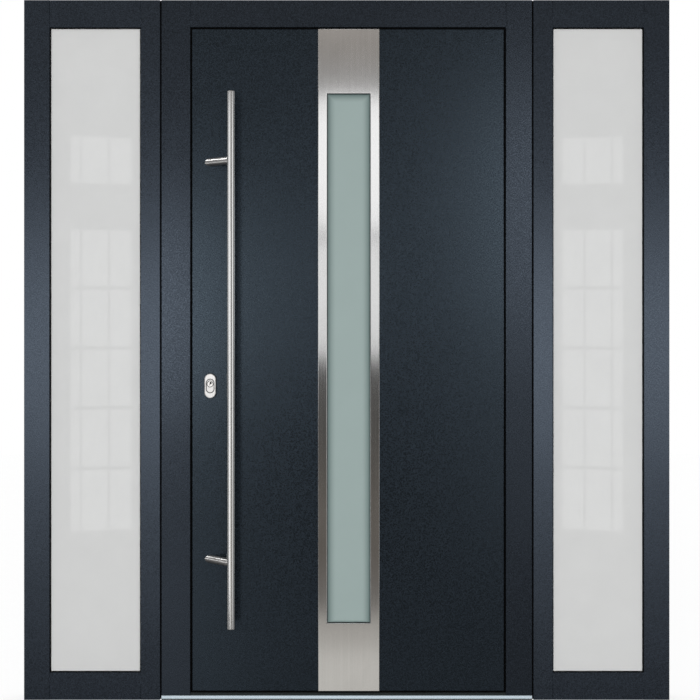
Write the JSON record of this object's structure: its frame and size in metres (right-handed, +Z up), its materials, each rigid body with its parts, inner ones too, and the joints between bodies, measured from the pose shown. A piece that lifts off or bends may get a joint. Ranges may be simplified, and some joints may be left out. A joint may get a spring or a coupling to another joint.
{
  "type": "entrance door with two sidelights",
  "caption": "Aluminium entrance door leaf with a stainless strip, tall narrow window and long pull bar, between two fixed frosted sidelights.",
  "frame": {"origin": "underside of the threshold, midway along the element and midway through the frame", "axes": "+Z up, +Y to the inside of the building, +X towards the hinge side"},
  "size_m": [1.9364, 0.22, 2.1],
  "materials": {
    "frame_paint": "fine textured powder coat, dark blue grey",
    "leaf_paint": "fine textured powder coat, dark blue grey",
    "strip_steel": "brushed along its height",
    "bar_steel": "satin, brushed along its length",
    "lock_steel": "satin",
    "sill_aluminium": "natural anodised",
    "stop_aluminium": "anodised grey",
    "leaf_window_glass": "satin, slightly green",
    "sidelight_window_glass": "white frosted",
    "seal_rubber": "matte black",
    "dark_plastic": "black",
    "core_foam": "rigid insulating foam",
    "lock_brass": "nickel plated"
  },
  "bodies": {
    "frame": {"threshold_base": "dark_plastic", "threshold": "sill_aluminium", "threshold_stop": "stop_aluminium", "lock_jamb": "frame_paint", "hinge_jamb": "frame_paint", "door_head": "frame_paint", "frame_seal": "seal_rubber", "strike_plates": "lock_steel", "couplings": "dark_plastic", "hinge_frame_parts": "frame_paint", "left_outer_stile": "frame_paint", "left_inner_stile": "frame_paint", "left_top_rail": "frame_paint", "left_bottom_rail": "frame_paint", "left_beads": "frame_paint", "left_glass": "sidelight_window_glass", "left_gaskets": "seal_rubber", "right_outer_stile": "frame_paint", "right_inner_stile": "frame_paint", "right_top_rail": "frame_paint", "right_bottom_rail": "frame_paint", "right_beads": "frame_paint", "right_glass": "sidelight_window_glass", "right_gaskets": "seal_rubber"},
    "leaf": {"leaf_lock_stile": "leaf_paint", "leaf_hinge_stile": "leaf_paint", "leaf_top_rail": "leaf_paint", "leaf_bottom_rail": "leaf_paint", "leaf_core": "core_foam", "leaf_outer_sheet": "leaf_paint", "leaf_inner_sheet": "leaf_paint", "stainless_strip": "strip_steel", "window_gaskets": "seal_rubber", "window_glass": "leaf_window_glass", "window_trim": "strip_steel", "pull_bar": "bar_steel", "bar_supports": "bar_steel", "lock_rosette": "lock_steel", "lock_guard": "lock_steel", "lock_cylinder": "lock_brass", "inner_cylinder_rose": "lock_steel", "inner_lever": "lock_steel", "lock_faceplate": "lock_steel", "lock_bolts": "lock_steel", "hinge_leaf_parts": "frame_paint"}
  },
  "joints": [
    {"name": "leaf_swing", "type": "hinge", "parent": "frame", "child": "leaf", "pos_m": [0.49175, 0.0525, 1], "axis": [0, 0, -1], "range_deg": [0, 105]}
  ]
}
